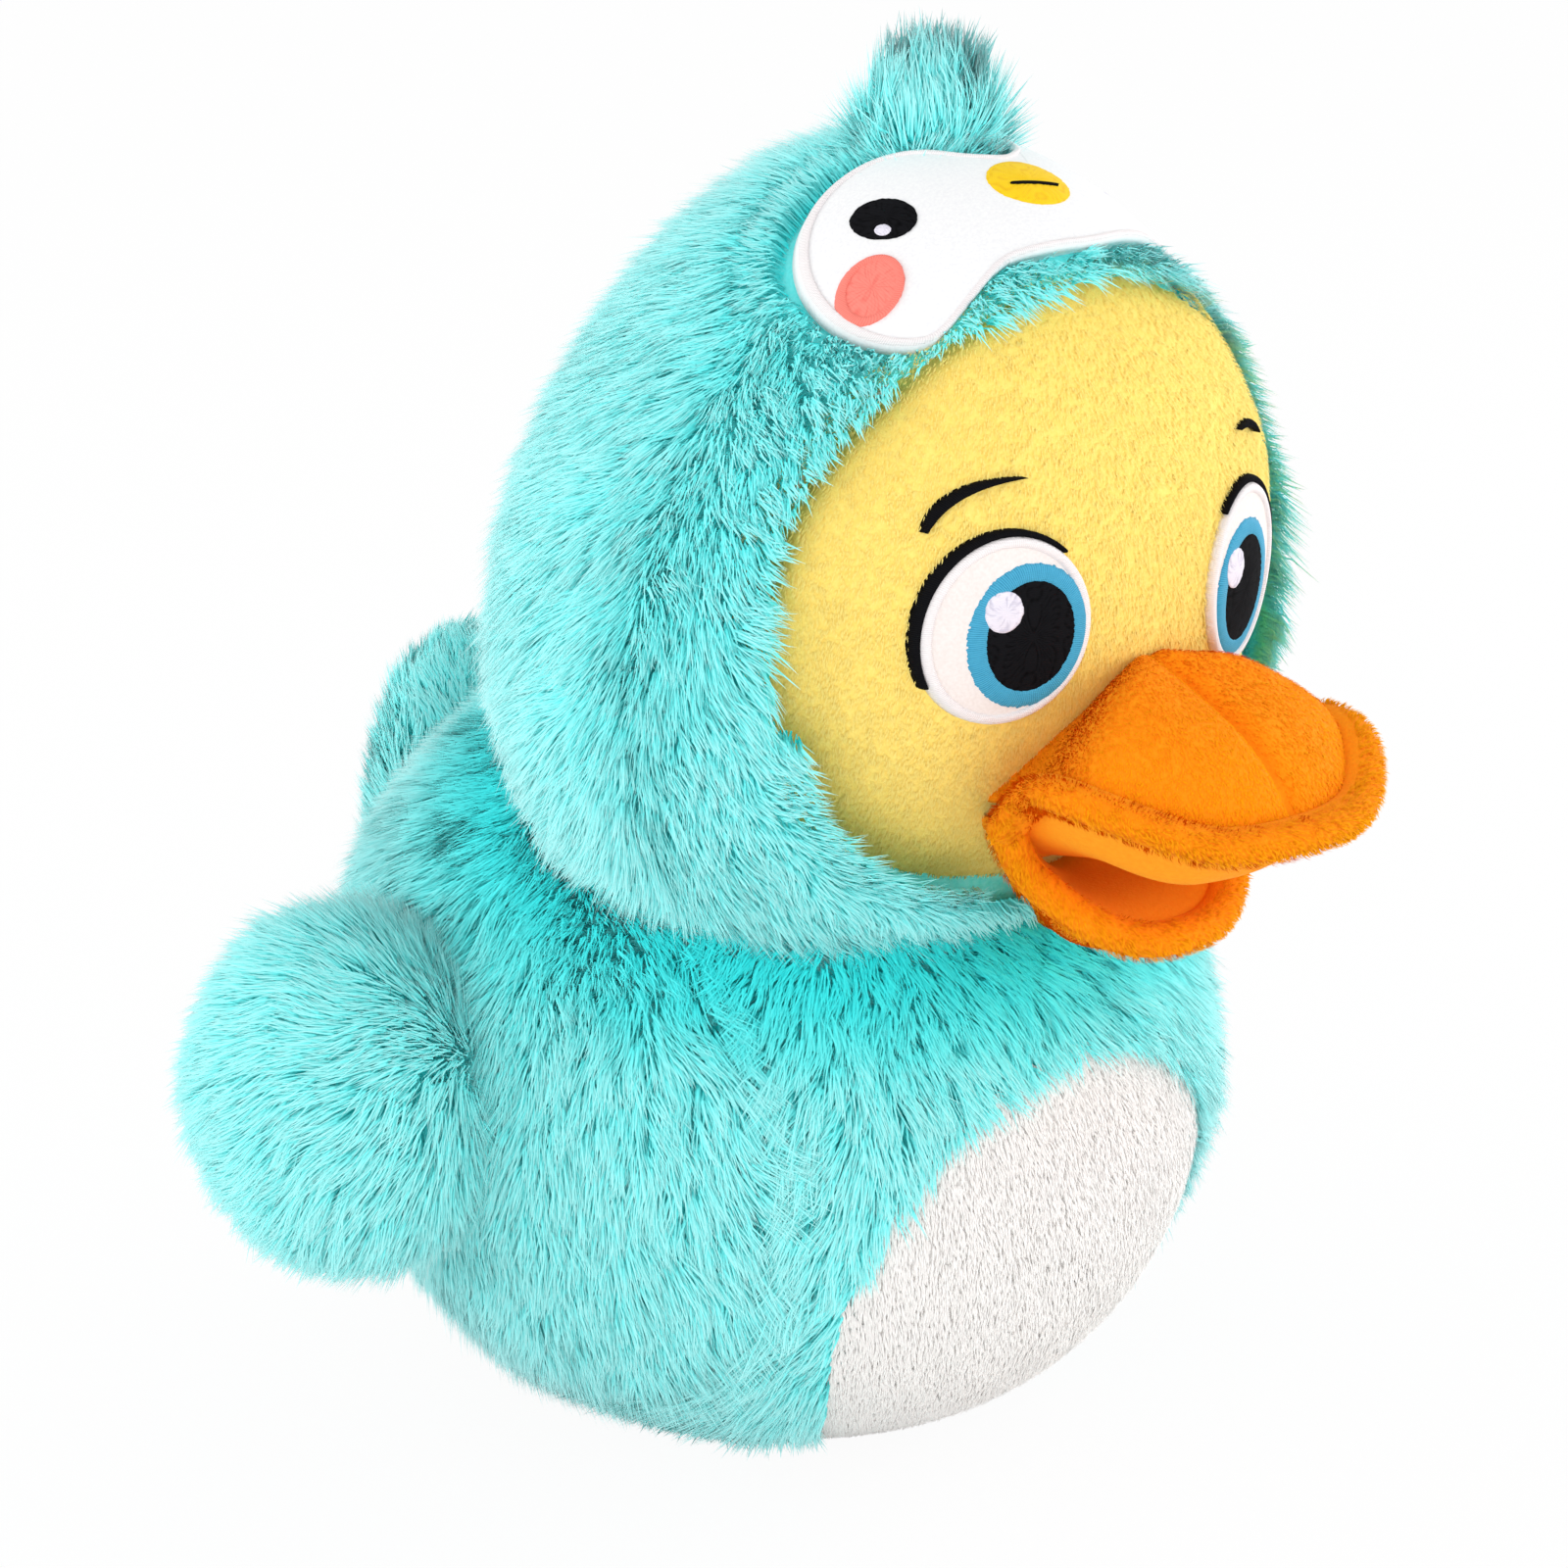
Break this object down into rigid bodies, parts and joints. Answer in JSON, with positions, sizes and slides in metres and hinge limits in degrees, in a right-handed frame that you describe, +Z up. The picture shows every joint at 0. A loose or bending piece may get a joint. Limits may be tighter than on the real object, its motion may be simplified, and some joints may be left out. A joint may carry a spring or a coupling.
{
  "type": "plush duck",
  "caption": "Plush duck sitting upright in a furry bird hood with a sewn face, round wings, an upturned tail and an open stuffed bill.",
  "frame": {"origin": "middle of the flat base panel, on the ground", "axes": "+Z up, -Y is where the duck faces, -X is the duck's own right side"},
  "size_m": [0.2734, 0.289, 0.3105],
  "materials": {
    "aqua_fur": "long soft pile",
    "white_plush": "short soft pile",
    "aqua_base": "smooth woven cloth",
    "filling": "loose fibre",
    "yellow_plush": "short napped plush",
    "orange_plush": "short soft pile",
    "orange_lining": "short napped plush",
    "white_thread": "satin stitch",
    "blue_thread": "satin stitch",
    "black_thread": "satin stitch",
    "pink_thread": "satin stitch",
    "gold_thread": "satin stitch",
    "pellets": "cloth bag of small plastic pellets"
  },
  "bodies": {
    "body": {"body_cover": "aqua_fur", "belly_panel": "white_plush", "base_panel": "aqua_base", "body_filling": "filling", "pellet_bag": "pellets"},
    "tail": {"tail_cover": "aqua_fur", "tail_filling": "filling"},
    "right_wing": {"right_wing_cover": "aqua_fur", "right_wing_filling": "filling"},
    "left_wing": {"left_wing_cover": "aqua_fur", "left_wing_filling": "filling"},
    "lower_bill": {"lower_bill_cover": "orange_plush", "lower_bill_lining": "orange_lining", "lower_bill_filling": "filling", "lower_bill_lip": "orange_plush"},
    "head": {"head_cover": "yellow_plush", "head_filling": "filling", "hood_cover": "aqua_fur", "hood_patch": "white_plush", "hood_tuft": "aqua_fur", "patch_bill": "gold_thread", "patch_mouth_line": "black_thread", "upper_bill_cover": "orange_plush", "upper_bill_lining": "orange_lining", "upper_bill_filling": "filling", "upper_bill_lip": "orange_plush", "patch_right_eye": "black_thread", "patch_right_glint": "white_thread", "patch_right_cheek": "pink_thread", "right_eye_white": "white_thread", "right_iris": "blue_thread", "right_pupil": "black_thread", "right_glint": "white_thread", "right_lash": "black_thread", "right_brow": "black_thread", "patch_left_eye": "black_thread", "patch_left_glint": "white_thread", "patch_left_cheek": "pink_thread", "left_eye_white": "white_thread", "left_iris": "blue_thread", "left_pupil": "black_thread", "left_glint": "white_thread", "left_lash": "black_thread", "left_brow": "black_thread"}
  },
  "joints": [
    {"name": "neck_turn", "type": "hinge", "parent": "body", "child": "head", "pos_m": [0, 0.0027, 0.0842], "axis": [0, -0.3453, 0.9385], "range_deg": [-12, 12], "stiffness_Nm_per_rad": 0.08},
    {"name": "right_wing_lift", "type": "hinge", "parent": "body", "child": "right_wing", "pos_m": [-0.087, 0.0178, 0.1312], "axis": [0, 1, 0], "range_deg": [0, 30], "stiffness_Nm_per_rad": 0.02, "springref_deg": -5.73},
    {"name": "left_wing_lift", "type": "hinge", "parent": "body", "child": "left_wing", "pos_m": [0.087, 0.0178, 0.1312], "axis": [0, -1, 0], "range_deg": [0, 30], "stiffness_Nm_per_rad": 0.02, "springref_deg": -5.73},
    {"name": "tail_bend", "type": "hinge", "parent": "body", "child": "tail", "pos_m": [0, 0.1037, 0.0447], "axis": [-1, 0, 0], "range_deg": [0, 25], "stiffness_Nm_per_rad": 0.1, "springref_deg": -5.73},
    {"name": "lower_bill_close", "type": "hinge", "parent": "head", "child": "lower_bill", "pos_m": [0, -0.093, 0.1625], "axis": [-1, 0, 0], "range_deg": [0, 8], "stiffness_Nm_per_rad": 0.02, "springref_deg": -5.73}
  ]
}
